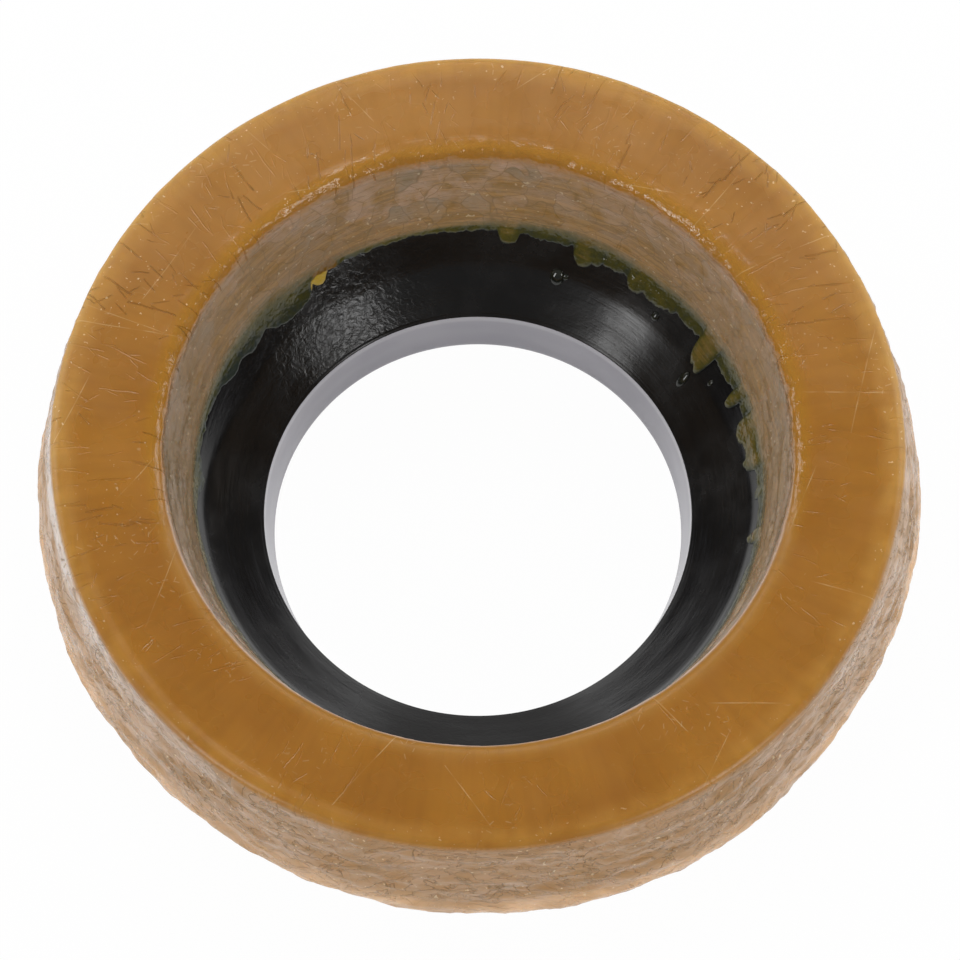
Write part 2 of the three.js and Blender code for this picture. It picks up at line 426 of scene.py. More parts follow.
def relieved(plain, bearings, lengths, names, masks):
    """The skin with its wrinkles, its slump, its groove and its dent."""
    radius, level = plain[..., 0], plain[..., 1]
    normals = outward(plain)
    relief = wrinkles(bearings, lengths, masks) * (names != "seat")
    sections = plain + normals * relief[..., None]
    wall = np.isin(names, OUTSIDE + ["under"]) * smooth(WAX_TOP - level, 0.5, 9.0)
    sections[..., 0] += bumps(bearings, SLUMPS, WIDEST)[:, None] * wall
    rolled = bumps(bearings, ROLLED, TOP_RADIUS)[:, None]
    groove = np.exp(-((radius - GROOVE_RADIUS) / 0.9) ** 2) * (names == "face")
    dent = np.exp(-((radius - DENT_RADIUS) / 0.5) ** 2) * (names == "face")
    uneven = grain(bearings, lengths, 5.0, 2.5, 53.0)
    far = smooth(backward(bearings), *FAR_SIDE)
    ridge = np.isin(names, ["inner", "mouth"]) * smooth(level, WAX_TOP - 3.5, WAX_TOP - 1.0)
    ridge = ridge * (0.1 + 0.9 * far)
    sections[..., 1] -= (0.170 + 0.204 * uneven) * groove * far + 0.28 * dent * rolled
    sections += normals * (0.30 * (uneven - 0.35) * ridge)[..., None]
    sections[..., 0] = np.minimum(sections[..., 0], WAX_RADIUS)
    sections[..., 1] = np.clip(sections[..., 1], WAX_FOOT, WAX_TOP)
    return sections


def backward(bearings):
    """1 at the back of the ring, -1 at the front and 0 at the sides, as a column."""
    return np.sin(np.radians(bearings))[:, None]


def edge_attributes(plain, bearings):
    """The shares of the rims' looks: the outer rim, the lip of the mouth and their parts."""
    radius, level = plain[..., 0], plain[..., 1]
    back = backward(bearings)
    far, near = smooth(back, *FAR_SIDE), smooth(-back, 0.0, 0.5)
    high = smooth(level, WAX_TOP - 4.0, WAX_TOP - 3.0)
    rim = smooth(radius, TOP_RADIUS - 5.0, TOP_RADIUS - 1.5) * high
    # Less of the rim at the front, so less of its painted glowing light there
    rim = rim * (1.0 - 0.45 * smooth(-back, 0.0, 0.6))
    lip = 1.0 - smooth(radius, MOUTH_RADIUS + 1.0, MOUTH_RADIUS + 3.6)
    lip = lip * smooth(level, WAX_TOP - 3.4, WAX_TOP - 1.8)
    return {
        "rim": rim,
        "lip": lip,
        "inside_lip": lip * (1.0 - smooth(level, WAX_TOP - 0.7, WAX_TOP - 0.1)) * (1.0 - near),
        "far_lip": lip * (0.15 + 0.85 * far),
        # Where the outermost round of the far rim gets painted light
        "painted_light_rim": far * smooth(radius, TOP_RADIUS - 1.6, TOP_RADIUS - 0.5) * high,
        "soft_edge": np.maximum(near * np.maximum(lip, 0.5 * rim), 0.9 * far * rim),
        # Where the near edge of the mouth gets its painted highlight
        "painted_highlight_edge": 0.7 * lip * near * (1.0 - smooth(level, WAX_TOP - 0.95, WAX_TOP - 0.60)),
    }


def wax_attributes(plain, sections, bearings, lengths, names, slanted):
    """What the materials read at each point: lengths in metres, and shares."""
    level = plain[..., 1]
    down = WAX_TOP - level
    everywhere = np.ones_like(level)
    back = backward(bearings)
    slant = SLANT * np.sin(np.radians(SLANTS * bearings))[:, None] * slanted
    clean = 1.0 + bumps(bearings, CLEAN_TOE, TOE_RADIUS)[:, None]
    thickness = np.where(names == "inner", height_of(sections, bearings) * clean, THICK)
    fallen = down - 1.5 * smooth(back, -0.25, 0.30)
    crumple = 0.15 + bumps(bearings, CRUMPLES, FACE_MIDDLE)[:, None]
    bloom_and_sheen = 0.05 + bumps(bearings, BLOOMS_AND_SHEEN, WIDEST)[:, None]
    foot = 1.0 - smooth(level, WAX_FOOT + 3.5, WAX_FOOT + 10.0)
    attributes = {
        "along": (lengths + slant) * MM,
        "thickness": thickness * MM,
        "inner_wall": smooth(down, 1.8, 3.0) * np.isin(names, ["inner", "mouth"]),
        "outer_wall": smooth(fallen, 0.5, 1.3) * np.isin(names, OUTSIDE),
        # Share of the far half that gets the painted sheen on the face
        "rear_painted_sheen": smooth(back, -0.1, 0.8) * everywhere,
        "crumple": crumple * everywhere,
        "bare": bumps(bearings, BARE, WIDEST)[:, None] * everywhere,
        "bloom_and_sheen": bloom_and_sheen * smooth(level, WAX_TOP - 11.0, WAX_TOP - 3.0),
        # Where the inner wall gets painted shade, on its left and right
        "clear": bumps(bearings, INNER_PAINTED_SHADE, TOE_RADIUS)[:, None] * everywhere,
        # Where the foot of the outer wall gets its painted glowing light
        "foot": foot * np.isin(names, ["heel", "outer"]),
    }
    attributes.update(edge_attributes(plain, bearings))
    return attributes


def build_wax():
    bearings = wax_bearings()
    wall_top, parts = wax_section()
    inner = toe_rows(bearings, wall_top)
    ring = np.concatenate([places for _, places in parts])
    plain = np.concatenate([inner, np.broadcast_to(ring, (len(bearings),) + ring.shape)], axis=1)
    names = np.array(["inner"] * INNER_ROWS + [name for name, places in parts for _ in places])
    lengths = lengths_along(plain)
    lengths = lengths - lengths[:, INNER_ROWS - 1:INNER_ROWS]
    masks = wax_masks(plain, bearings, names)
    sections = relieved(plain, bearings, lengths, names, masks)
    attributes = wax_attributes(plain, sections, bearings, lengths, names, masks["outer"])
    piece = ring_mesh("wax_skin", sections, bearings, attributes)
    piece.data.polygons.foreach_set("material_index", wax_zones(attributes))
    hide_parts("wax_ring")
    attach(piece, "root")
    return piece


def wax_zones(attributes):
    """Index in WAX_ZONES for each face of the skin: one zone where all four corners are in it."""
    inner = attributes["inner_wall"]
    outer = attributes["outer_wall"]
    corners = [(0, 0), (-1, 0), (0, -1), (-1, -1)]
    inners = np.stack([np.roll(inner, shift, axis=(0, 1)) for shift in corners])
    outers = np.stack([np.roll(outer, shift, axis=(0, 1)) for shift in corners])
    zones = np.full(inner.shape, 3, dtype=np.int32)
    zones[(inners.max(axis=0) <= 0.0) & (outers.max(axis=0) <= 0.0)] = 0
    zones[inners.min(axis=0) >= 1.0] = 1
    zones[outers.min(axis=0) >= 1.0] = 2
    return zones.ravel()


def drop_points(bearing, radius, half_width, half_length):
    """Points of a flattened cap on the cone: its top, its rings and the middle of its base."""
    turn = math.radians(bearing)
    out = Vector((math.cos(turn), math.sin(turn), 0.0))
    side = Vector((-math.sin(turn), math.cos(turn), 0.0))
    up = out * math.cos(CONE_ANGLE) + Vector((0.0, 0.0, math.sin(CONE_ANGLE)))
    normal = Vector((0.0, 0.0, math.cos(CONE_ANGLE))) - out * math.sin(CONE_ANGLE)
    level = float(flare_height(radius, sag(radius, bearing)))
    centre = out * radius + Vector((0.0, 0.0, level))
    points = [centre + normal * DROP_HEIGHT * half_width]
    for ring in range(1, DROP_RINGS + 1):
        lean = math.pi / 2 * ring / DROP_RINGS
        for step in range(DROP_AROUND):
            swing = 2 * math.pi * step / DROP_AROUND
            place = centre + side * half_width * math.sin(lean) * math.cos(swing)
            place = place + up * half_length * math.sin(lean) * math.sin(swing)
            points.append(place + normal * DROP_HEIGHT * half_width * math.cos(lean))
    points.append(centre)
    return points


def drop_faces(first):
    """Faces of one drop, whose points start at this index."""
    last = first + 1 + DROP_RINGS * DROP_AROUND
    rim = last - DROP_AROUND
    faces = []
    for step in range(DROP_AROUND):
        after = (step + 1) % DROP_AROUND
        faces.append((first, first + 1 + step, first + 1 + after))
        for here in range(first + 1, rim, DROP_AROUND):
            beyond = here + DROP_AROUND
            faces.append((here + step, beyond + step, beyond + after, here + after))
        faces.append((rim + step, last, rim + after))
    return faces


def build_drops():
    """Clear drops that lie on the cone: flattened caps, each closed under its rim."""
    points, faces = [], []
    for drop in DROPS:
        faces.extend(drop_faces(len(points)))
        points.extend(drop_points(*drop))
    piece = smooth_piece("wax_drops", [tuple(point * MM) for point in points], faces)
    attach(piece, "root")
    return piece


def height_of(sections, bearings):
    """Height of each point above the top of the horn, square to the cone."""
    radius, level = sections[..., 0], sections[..., 1]
    return (level - flare_height(radius, sag(radius, bearings[:, None]))) * math.cos(CONE_ANGLE)


def horn_section():
    """The horn, from the edge of its brim in over the top, down the bore and back up outside."""
    rim_radius = SLEEVE_RADIUS - SLEEVE_TAPER
    brim = np.linspace(BRIM_RADIUS - RIM_ROUND, 50.0, 4)
    radii = np.concatenate([brim, np.linspace(49.0, SLEEVE_RADIUS + 0.2, 46)])
    top = np.column_stack([radii, flare_height(radii)])
    under = np.linspace(BRIM_TOP - HORN_WALL, WAX_FOOT - 5.2, 14)
    cone_under = np.column_stack([cone_outside(under), under])[::-1]
    bore_top = (SLEEVE_RADIUS + 0.02, SLEEVE_LENGTH + 0.06)
    bore_start = (SLEEVE_RADIUS - 0.05, SLEEVE_LENGTH - 0.25)
    rim_in = (rim_radius, RIM_HEIGHT + RIM_ROUND)
    rim_out = (rim_radius + HORN_WALL, RIM_HEIGHT + RIM_ROUND)
    outside_top = (cone_under[0][0] - 0.1, cone_under[0][1] - 0.3)
    return np.concatenate([
        top,
        [bore_top, bore_start],
        straight(bore_start, rim_in, 12),
        arc(rim_in[0] + RIM_ROUND, rim_in[1], RIM_ROUND, 180.0, 270.0, 4),
        arc(rim_out[0] - RIM_ROUND, rim_out[1], RIM_ROUND, 270.0, 360.0, 4),
        straight(rim_out, outside_top, 10),
        cone_under,
        [(BRIM_RADIUS - RIM_ROUND, BRIM_TOP - HORN_WALL), (BRIM_RADIUS, BRIM_TOP - HORN_WALL / 2)],
    ])


def build_horn():
    bearings = np.arange(HORN_AROUND) * 360.0 / HORN_AROUND
    section = horn_section()
    sections = np.broadcast_to(section, (HORN_AROUND,) + section.shape).copy()
    lengths = lengths_along(sections)
    radius, level = section[:, 0], section[:, 1]
    above = level >= flare_height(radius) - 0.3
    cone = above * (radius > SLEEVE_RADIUS + 0.3) * (radius < TOE_RADIUS)
    bore_radius = SLEEVE_RADIUS - SLEEVE_TAPER * (1.0 - level / SLEEVE_LENGTH)
    bore = (np.abs(radius - bore_radius) < 0.3) * (level < SLEEVE_LENGTH + 0.1)
    dull = above * (radius > SLEEVE_RADIUS) * smooth(-backward(bearings), 0.84, 0.98)
    sections[..., 1] -= above * sag(radius, bearings[:, None]) / math.cos(CONE_ANGLE)
    waves = 0.06 * grain(bearings, lengths, 20.0, 6.0, 71.0, 2)
    waves = waves * cone * smooth(radius, SLEEVE_RADIUS, SLEEVE_RADIUS + 2.0)
    sections += outward(sections) * waves[..., None]
    crinkled = cone * (0.12 + bumps(bearings, CRINKLES, CONE_MIDDLE)[:, None])
    attributes = {
        "along": lengths * MM,
        "cone": cone * np.ones_like(lengths),
        "dull": dull,
        "crinkled": crinkled,
    }
    piece = ring_mesh("horn_skin", sections, bearings, attributes)
    in_bore = np.broadcast_to(bore & np.roll(bore, -1), lengths.shape)
    piece.data.polygons.foreach_set("material_index", in_bore.astype(np.int32).ravel())
    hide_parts("horn")
    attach(piece, "root")
    return piece


# Colours of the wax, linear
WAX_DEEP = (0.290, 0.113, 0.010, 1)
WAX_BODY = (0.340, 0.140, 0.014, 1)
# Outer rim: partly the wax's own colour, partly painted glowing light through the thin edge
WAX_RIM_AND_PAINTED_GLOW = (0.450, 0.222, 0.034, 1)
# Painted light on the outermost round of the far rim
WAX_PAINTED_RIM_LIGHT = (0.600, 0.350, 0.085, 1)
# Painted sheen on the far half of the face
WAX_FACE_PAINTED_SHEEN = (0.620, 0.420, 0.220, 1)
WAX_LIP = (0.360, 0.165, 0.014, 1)
WAX_INSIDE_LIP = (0.350, 0.158, 0.022, 1)
WAX_OLIVE = (0.340, 0.180, 0.058, 1)
WAX_FILM = (0.440, 0.262, 0.135, 1)
WAX_PALE_FILM = (0.560, 0.392, 0.275, 1)
WAX_BARE = (0.320, 0.162, 0.048, 1)
WAX_FOLD = (0.210, 0.128, 0.052, 1)
# Painted highlight along the near edge of the mouth
WAX_PAINTED_EDGE_HIGHLIGHT = (0.640, 0.500, 0.420, 1)
# Whitish film and painted sheen at the top of the outer wall
WAX_BLOOM_AND_SHEEN = (0.670, 0.585, 0.530, 1)
# Painted glowing light at the foot of the outer wall
WAX_PAINTED_FOOT_GLOW = (0.780, 0.500, 0.290, 1)
WAX_INNER = (0.330, 0.178, 0.048, 1)
WAX_INNER_DARK = (0.145, 0.082, 0.020, 1)
WAX_INNER_FILM = (0.400, 0.256, 0.156, 1)
WAX_INNER_GREY = (0.215, 0.158, 0.084, 1)
# Dark radial streaks, and painted shade in the creases
WAX_STREAK_AND_CREASE_SHADE = (0.150, 0.052, 0.005, 1)
WAX_SCRATCH = (0.700, 0.500, 0.260, 1)
# Pale flecks, and painted glints
WAX_FLECK_AND_GLINT = (0.850, 0.680, 0.440, 1)
WAX_FLAKE = (0.480, 0.320, 0.040, 1)
WAX_SCAR = (0.200, 0.095, 0.012, 1)

# Colours of the drops, the plastic and the bore: the two ends of their clouds, linear
DROP_COLOURS = ((0.008, 0.009, 0.007, 1), (0.018, 0.020, 0.013, 1))
PLASTIC_COLOURS = ((0.0040, 0.0038, 0.0038, 1), (0.008, 0.0078, 0.0078, 1))
# The bore's colours and its band below are a painted reflection on black plastic
BORE_PAINTED_REFLECTION = ((0.350, 0.345, 0.395, 1), (0.410, 0.405, 0.455, 1))
BORE_PAINTED_REFLECTION_BAND = (0.510, 0.505, 0.550, 1)

# Colour of thin wax on the black cone, by its thickness in millimetres, and the end of that range
THIN_RANGE = 2.0
THIN_WAX = [
    (0.00, (0.013, 0.017, 0.013, 1)),
    (0.30, (0.027, 0.034, 0.027, 1)),
    (0.60, (0.052, 0.050, 0.014, 1)),
    (1.00, (0.082, 0.070, 0.014, 1)),
    (1.80, (0.165, 0.115, 0.030, 1)),
]

# Zones of the wax's skin, one material each; the last is for the rims, where they meet
WAX_ZONES = [("face",), ("inner",), ("outer",), ("face", "outer", "inner")]

# Flake of wax that stands off the toe: bearing, radius, half length round the ring and half width
FLAKE = (124.5, 42.6, 2.3, 0.8)

# Scratches: size of the cell that holds one, its length and width in metres, its lean from +X and the
# spread of the leans in degrees, and the share of cells that have one
LONG_CREASES = (0.0050, 0.0115, 0.00015, 97.0, 20.0, 0.70)
SHORT_CREASES = (0.0026, 0.0040, 0.00012, 84.0, 45.0, 0.5)
LONG_HAIRS = (0.028, 0.034, 0.00010, 38.0, 50.0, 0.7)
SHORT_HAIRS = (0.016, 0.019, 0.00010, 20.0, 80.0, 0.5)
DASHES = (0.0013, 0.0012, 0.00011, 70.0, 90.0, 0.35)

# Radii in metres at which the noise goes round the wax, the cone and the bore, and depth of bumps
WAX_RING = 0.068
CONE_RING = 0.04
BORE_RING = 0.033
BUMP_DEPTH = 0.0003


class Tree:
    """The nodes of a material or the world, added one after another."""

    def __init__(self, holder):
        holder.use_nodes = True
        self.holder = holder
        self.nodes = holder.node_tree.nodes
        self.links = holder.node_tree.links

    def add(self, kind, inputs=None, **settings):
        node = self.nodes.new(kind)
        for key, value in settings.items():
            setattr(node, key, value)
        for key, value in (inputs or {}).items():
            self.set(node, key, value)
        return node

    def set(self, node, key, value):
        if isinstance(value, bpy.types.NodeSocket):
            self.links.new(value, node.inputs[key])
        else:
            node.inputs[key].default_value = value

    def shade(self, inputs):
        """Set inputs of the material's shader."""
        for key, value in inputs.items():
            self.set(self.nodes["Principled BSDF"], key, value)

    def bumped(self, height, strength):
        inputs = {"Height": height, "Strength": strength, "Distance": BUMP_DEPTH}
        return self.add("ShaderNodeBump", inputs).outputs[0]

    def attribute(self, name):
        return self.add("ShaderNodeAttribute", attribute_name=name).outputs["Fac"]

    def math(self, operation, first, second=0.0):
        return self.add("ShaderNodeMath", {0: first, 1: second}, operation=operation).outputs[0]

    def plus(self, first, second):
        return self.math("ADD", first, second)

    def minus(self, first, second):
        return self.math("SUBTRACT", first, second)

    def times(self, *values):
        product = values[0]
        for value in values[1:]:
            product = self.math("MULTIPLY", product, value)
        return product

    def most(self, *values):
        top = values[0]
        for value in values[1:]:
            top = self.math("MAXIMUM", top, value)
        return top

    def vector(self, operation, first, second=None, scale=None):
        """The result of a vector operation: a vector, or a number for LENGTH."""
        given = {0: first, 1: second, 3: scale}
        inputs = {key: value for key, value in given.items() if value is not None}
        node = self.add("ShaderNodeVectorMath", inputs, operation=operation)
        return node.outputs["Value" if operation == "LENGTH" else "Vector"]

    def parts(self, vector):
        return self.add("ShaderNodeSeparateXYZ", {0: vector}).outputs

    def joined(self, *values):
        return self.add("ShaderNodeCombineXYZ", dict(enumerate(values))).outputs[0]

    def border(self, level, edge, width):
        """1 on the line where the level crosses the edge."""
        away = self.math("ABSOLUTE", self.minus(level, edge))
        return self.remap(away, 0.3 * width, width, 1.0, 0.0)

    def remap(self, value, low, high, to_low=0.0, to_high=1.0):
        node = self.add("ShaderNodeMapRange", {0: value, 1: low, 2: high, 3: to_low, 4: to_high})
        return node.outputs[0]

    def mix(self, share, first, second):
        node = self.add("ShaderNodeMix", {0: share, 6: first, 7: second}, data_type="RGBA")
        return node.outputs[2]

    def noise(self, vector, scale, detail=3.0, roughness=0.5, swirl=0.0):
        inputs = {"Vector": vector, "Scale": scale, "Detail": detail}
        inputs.update({"Roughness": roughness, "Distortion": swirl})
        return self.add("ShaderNodeTexNoise", inputs).outputs["Fac"]

    def ring_noise(self, ring, around, along, detail=3.0, roughness=0.5, swirl=0.0):
        """Noise over a skin, with its own scale round the ring and along the section."""
        return self.noise(self.stretched(ring, (around, around, along)), 1.0, detail, roughness, swirl)

    def place(self):
        return self.add("ShaderNodeTexCoord").outputs["Object"]

    def stretched(self, vector, scale):
        return self.add("ShaderNodeMapping", {"Vector": vector, "Scale": scale}).outputs[0]

    def polar_place(self, around):
        """Flat coordinates on the upper face: metres round the ring at one radius, and the radius."""
        parts = self.parts(self.place())
        turn = self.math("ARCTAN2", parts[1], parts[0])
        radius = self.vector("LENGTH", self.joined(parts[0], parts[1]))
        return self.joined(self.times(turn, around), radius)

    def ring_place(self, along, around):
        """Coordinates on the skin: a unit circle for the bearing, times around, and metres along it."""
        flat = self.vector("MULTIPLY", self.place(), (1.0, 1.0, 0.0))
        parts = self.parts(self.vector("SCALE", self.vector("NORMALIZE", flat), scale=around))
        return self.joined(parts[0], parts[1], along)


def material_tree(name):
    return Tree(bpy.data.materials.new(name))


def scratches(tree, place, cell, length, width, lean, spread, share):
    """Straight scratches, at most one in each cell: 1 in the scratch and 0 beside it."""
    cells = tree.add("ShaderNodeTexVoronoi", {"Vector": place, "Scale": 1.0 / cell}, voronoi_dimensions="2D")
    chance = tree.add("ShaderNodeSeparateColor", {0: cells.outputs["Color"]}).outputs
    local = tree.vector("SUBTRACT", place, cells.outputs["Position"])
    steep = 90.0 - lean
    turn = tree.remap(chance[0], 0.0, 1.0, math.radians(steep - spread), math.radians(steep + spread))
    turned = tree.add("ShaderNodeVectorRotate", {"Vector": local, "Angle": turn}, rotation_type="Z_AXIS")
    flat = tree.parts(turned.outputs[0])
    line = tree.remap(tree.math("ABSOLUTE", flat[0]), 0.35 * width, width, 1.0, 0.0)
    reach = tree.remap(chance[2], 0.0, 1.0, 0.3 * length, 0.5 * length)
    ends = tree.minus(reach, tree.math("ABSOLUTE", flat[1]))
    there = tree.math("LESS_THAN", chance[1], share)
    return tree.times(line, tree.remap(ends, 0.0, 0.15 * length), there)


def warped(tree, place, scale, amount):
    """The place moved a little by noise, which bends straight marks."""
    swirl = tree.add("ShaderNodeTexNoise", {"Vector": place, "Scale": scale, "Detail": 1.0}).outputs["Color"]
    centred = tree.vector("SUBTRACT", swirl, (0.5, 0.5, 0.5))
    return tree.vector("ADD", place, tree.vector("SCALE", centred, scale=amount))


def moved(tree, place, shift):
    return tree.vector("ADD", place, (shift, -0.7 * shift, 0.0))


def face_marks(tree, place, polar, rim):
    """Marks on the upper face: creases, pale scratches, and pale dashes with painted glints, each 1 in the
    mark.
    """
    crumple = tree.attribute("crumple")
    bent = warped(tree, polar, 130.0, 0.0016)
    patches = tree.remap(tree.noise(polar, 75.0, 2.0), 0.47, 0.58, 0.1, 1.0)
    short_ones = scratches(tree, moved(tree, bent, 0.31), *SHORT_CREASES)
    creases = tree.most(scratches(tree, bent, *LONG_CREASES), tree.times(short_ones, 0.8))
    creases = tree.times(creases, patches, crumple)

    bent_flat = warped(tree, place, 40.0, 0.0015)
    short_hairs = scratches(tree, moved(tree, bent_flat, 0.37), *SHORT_HAIRS)
    hairs = tree.most(scratches(tree, bent_flat, *LONG_HAIRS), short_hairs)
    hairs = tree.times(hairs, tree.remap(tree.noise(place, 260.0, 1.0), 0.40, 0.60, 0.15, 1.0))

    clusters = tree.remap(tree.noise(moved(tree, place, 0.13), 85.0, 1.0), 0.56, 0.66)
    dashes = tree.times(scratches(tree, moved(tree, bent, 0.17), *DASHES), clusters, 0.3)
    # Painted glints: tiny pale specks in the colour, near the rim and the creases
    painted_glint_specks = tree.remap(tree.noise(place, 1700.0, 1.0), 0.725, 0.755)
    painted_glint_specks = tree.times(painted_glint_specks, tree.most(rim, tree.times(patches, crumple)))
    return creases, hairs, tree.math("MINIMUM", tree.plus(dashes, painted_glint_specks), 1.0)


def folds(tree, ring, around, along):
    """Wavy folds of a crumpled film: 1 on the fold and 0 beside it."""
    bent = tree.stretched(warped(tree, ring, 190.0, 0.0050), (around, around, along))
    return tree.border(tree.noise(bent, 1.0, 2.0, 0.55), 0.50, 0.026)


def flakes(tree, ring):
    """Flakes of film with curved edges: a number for each flake, and 1 on the lines between them."""
    bent = tree.stretched(warped(tree, moved(tree, ring, 0.6), 120.0, 0.009), (150.0, 150.0, 260.0))
    cells = tree.add("ShaderNodeTexVoronoi", {"Vector": bent, "Scale": 1.0})
    kinds = tree.add("ShaderNodeSeparateColor", {0: cells.outputs["Color"]}).outputs[0]
    edges = tree.add("ShaderNodeTexVoronoi", {"Vector": bent, "Scale": 1.0}, feature="DISTANCE_TO_EDGE")
    return kinds, tree.remap(edges.outputs["Distance"], 0.006, 0.03, 1.0, 0.0)


def flake_marks(tree):
    """The yellow flake at the toe and the brown scar beside it, each 1 in the mark."""
    bearing, radius, half_length, half_width = FLAKE
    place = warped(tree, tree.polar_place(radius * MM), 420.0, 0.0018)
    centre = (math.radians(bearing) * radius * MM, radius * MM, 0.0)
    local = tree.vector("SUBTRACT", place, centre)
    marks = []
    for out, grown in ((0.0, 1.0), (0.9, 0.7)):
        shifted = tree.vector("SUBTRACT", local, (-out * MM, out * MM, 0.0))
        scale = (1.0 / (half_length * MM), 1.0 / (half_width * grown * MM), 0.0)
        away = tree.vector("LENGTH", tree.vector("MULTIPLY", shifted, scale))
        marks.append(tree.remap(away, 0.85, 1.0, 1.0, 0.0))
    return marks


def face_look(tree, ring):
    """Colour and relief of the upper face and the rims."""
    place = tree.place()
    polar = tree.polar_place(FACE_MIDDLE * MM)
    rim = tree.attribute("rim")
    rim_and_glow_share = tree.times(rim, tree.remap(tree.noise(place, 260.0, 2.0), 0.35, 0.6, 0.4, 0.9))
    body = tree.mix(tree.remap(tree.noise(place, 60.0, 3.0), 0.38, 0.62), WAX_DEEP, WAX_BODY)
    # Painted sheen: the far half of the face made paler and less saturated
    body = tree.mix(tree.times(tree.attribute("rear_painted_sheen"), 0.10), body, WAX_FACE_PAINTED_SHEEN)
    # The outer rim lighter and yellower: partly the wax's own colour, partly painted glowing light through
    # the thin edge
    body = tree.mix(rim_and_glow_share, body, WAX_RIM_AND_PAINTED_GLOW)
    body = tree.mix(tree.times(tree.attribute("lip"), 0.7), body, WAX_LIP)
    body = tree.mix(tree.attribute("inside_lip"), body, WAX_INSIDE_LIP)
    # Painted light: the outermost round of the far rim made paler, where it turns away from the lamps
    body = tree.mix(tree.times(tree.attribute("painted_light_rim"), 0.45), body, WAX_PAINTED_RIM_LIGHT)
    # Painted highlight: a pale line along the near edge of the mouth
    body = tree.mix(tree.attribute("painted_highlight_edge"), body, WAX_PAINTED_EDGE_HIGHLIGHT)
    creases, hairs, flecks_and_glints = face_marks(tree, place, polar, rim)
    drawn = tree.noise(tree.stretched(polar, (620.0, 55.0, 1.0)), 1.0, 2.0)
    body = tree.mix(tree.remap(drawn, 0.46, 0.66, 0.0, 0.10), body, WAX_STREAK_AND_CREASE_SHADE)
    # Painted shade: the creases darkened in the colour, beside their bumps
    body = tree.mix(tree.times(creases, 0.24), body, WAX_STREAK_AND_CREASE_SHADE)
    body = tree.mix(tree.times(hairs, 0.35), body, WAX_SCRATCH)
    # Pale dashes and painted glints
    body = tree.mix(tree.times(flecks_and_glints, 0.5), body, WAX_FLECK_AND_GLINT)
    knobs = tree.ring_noise(ring, 420.0, 900.0, 3.0, 0.65)
    lumps = tree.most(tree.times(tree.attribute("far_lip"), 1.1), tree.times(rim, 0.35))
    return body, tree.plus(tree.times(creases, -0.9), tree.times(knobs, lumps))


def outer_look(tree, ring):
    """Colour and relief of the outer wall: olive wax under pale, crumpled film, with painted light at top
    and foot.
    """
    film = tree.ring_noise(ring, 95.0, 210.0, 3.0, 0.55)
    pale = tree.ring_noise(moved(tree, ring, 0.5), 90.0, 300.0, 3.0, 0.55, 0.7)
    bare = tree.attribute("bare")
    film_area = tree.remap(tree.minus(film, tree.times(bare, 0.05)), 0.40, 0.54)
    pale_area = tree.remap(tree.minus(pale, tree.times(bare, 0.08)), 0.47, 0.56)
    rough_area = tree.remap(tree.noise(moved(tree, ring, 0.2), 110.0, 1.0), 0.38, 0.56, 0.2, 1.0)
    fine_folds = tree.times(folds(tree, ring, 300.0, 640.0), rough_area)
    broad_folds = folds(tree, moved(tree, ring, 0.4), 150.0, 420.0)
    folded = tree.most(tree.times(fine_folds, 0.9), tree.times(broad_folds, 0.7))
    body = tree.mix(tree.times(film_area, 0.8), WAX_OLIVE, WAX_FILM)
    body = tree.mix(tree.times(pale_area, 0.7), body, WAX_PALE_FILM)
    body = tree.mix(tree.times(bare, 0.55), body, WAX_BARE)
    # Whitish film and painted sheen: the top of the outer wall made pale, most on its left and right
    body = tree.mix(tree.times(tree.attribute("bloom_and_sheen"), tree.remap(film, 0.34, 0.46)), body, WAX_BLOOM_AND_SHEEN)
    body = tree.mix(tree.times(folded, 0.6), body, WAX_FOLD)
    # Painted glowing light: the foot of the outer wall made paler and more orange, as if lit through the wax
    painted_glow = tree.times(tree.attribute("foot"), tree.remap(film, 0.40, 0.58, 0.9, 0.35))
    body = tree.mix(painted_glow, body, WAX_PAINTED_FOOT_GLOW)
    # Painted glints: tiny pale specks in the colour
    glints = tree.remap(tree.noise(tree.place(), 1250.0, 1.0), 0.71, 0.75)
    body = tree.mix(tree.times(glints, 0.5), body, WAX_FLECK_AND_GLINT)
    return body, tree.minus(tree.times(film, 2.2), tree.times(fine_folds, 0.7))


